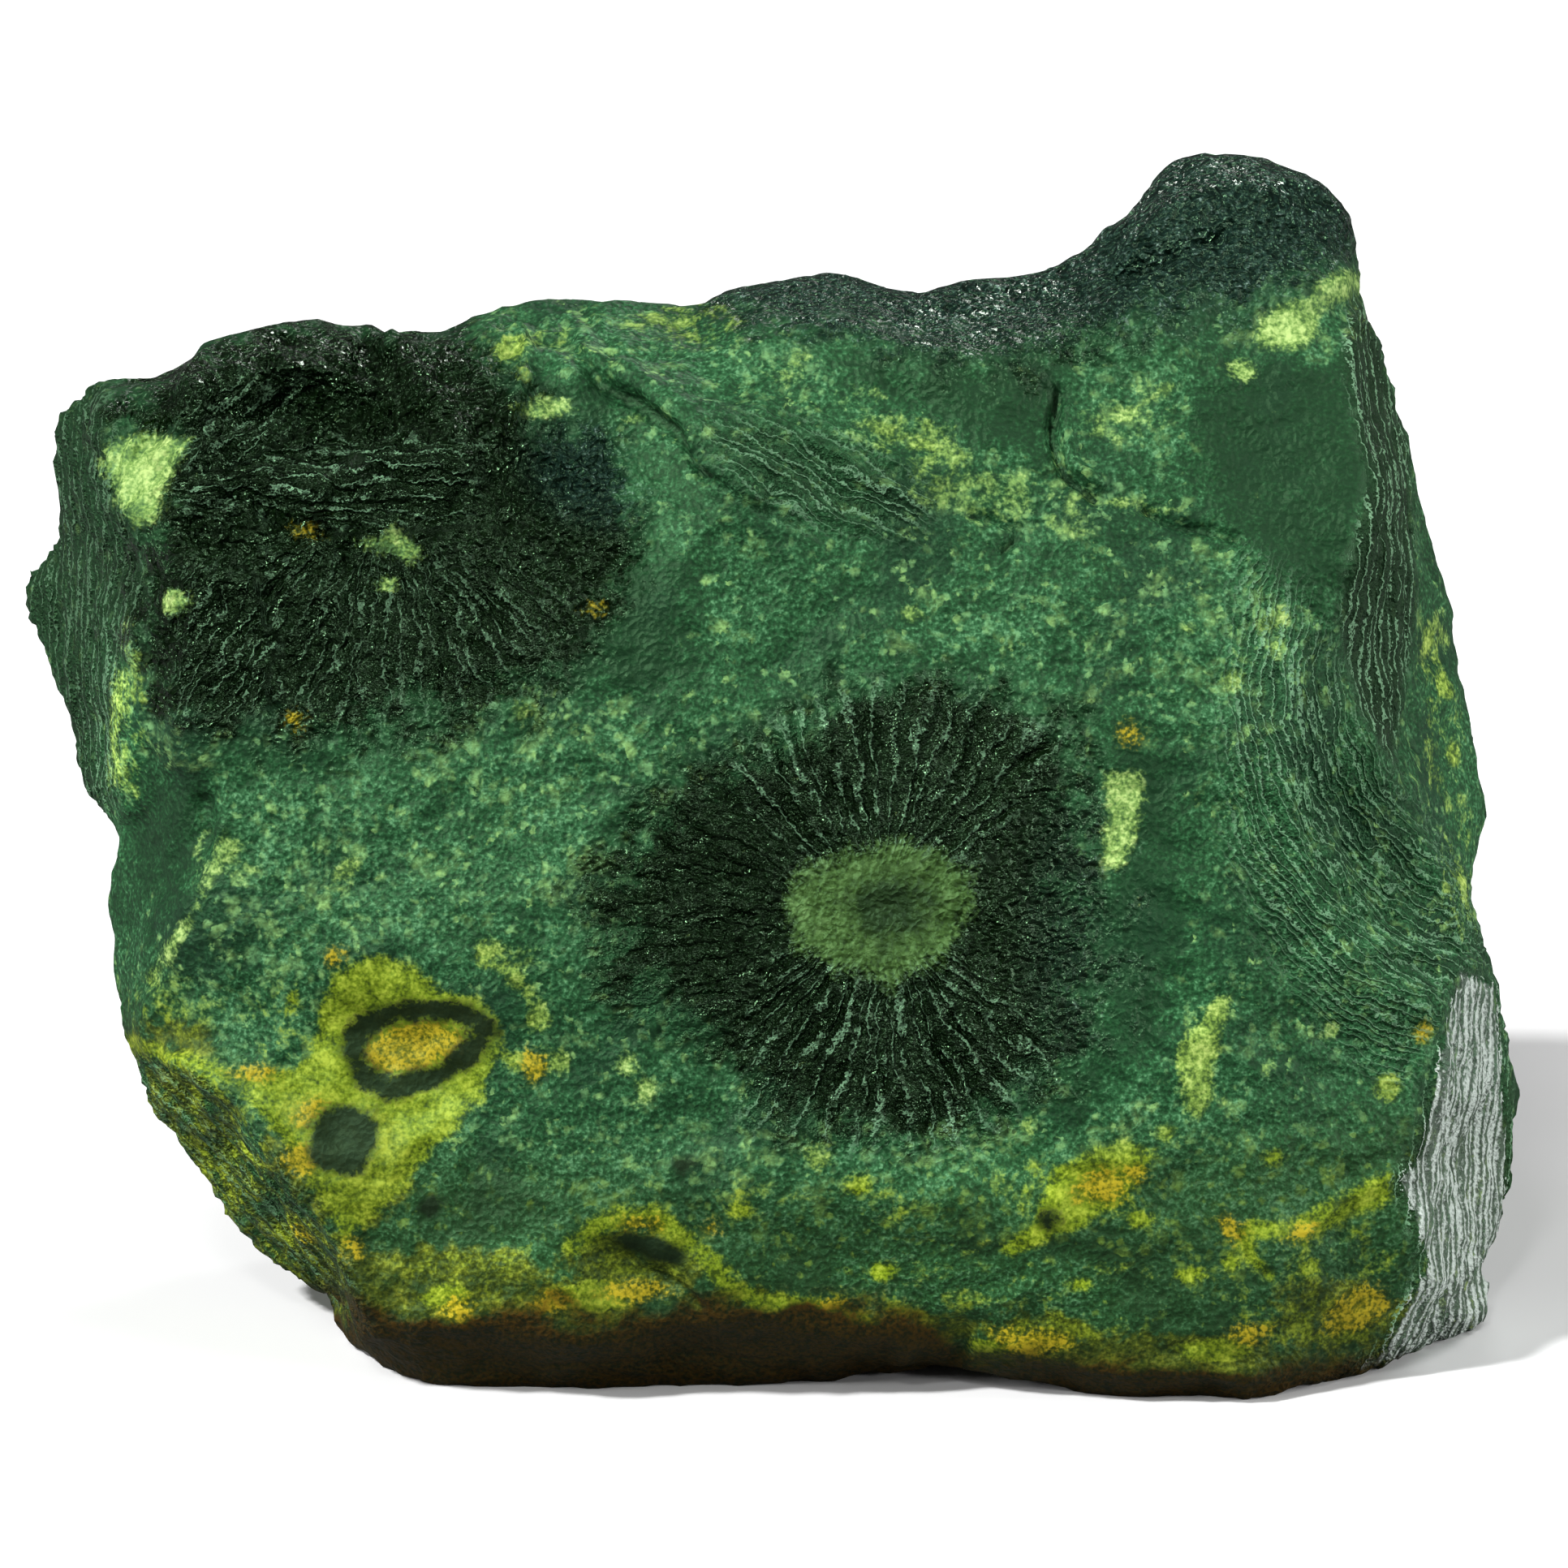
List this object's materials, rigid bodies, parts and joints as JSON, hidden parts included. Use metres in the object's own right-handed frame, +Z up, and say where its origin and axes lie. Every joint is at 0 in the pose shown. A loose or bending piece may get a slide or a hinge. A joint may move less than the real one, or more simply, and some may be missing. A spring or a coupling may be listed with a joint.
{
  "type": "rough kambaba jasper stone",
  "caption": "Rough hand-sized chunk of dark green orbicular jasper, one solid, standing on its flat base with its broad mottled face to the front.",
  "frame": {"origin": "middle of the stone's bounding box in plan, on the surface that it stands on", "axes": "+X to the right along the stone's width, its longest side; +Y to the back, so the broad marked face looks along -Y and leans back 14 degrees; +Z up"},
  "size_m": [0.0503, 0.0314, 0.0382],
  "materials": {
    "kambaba_jasper": "raw broken face with a waxy sheen: teal green ground full of fine pale flecks, black green orbs, one with a pale green eye, and lime, olive and ochre patches, mostly low down"
  },
  "bodies": {
    "root": {"kambaba_jasper_stone": "kambaba_jasper"}
  },
  "joints": []
}
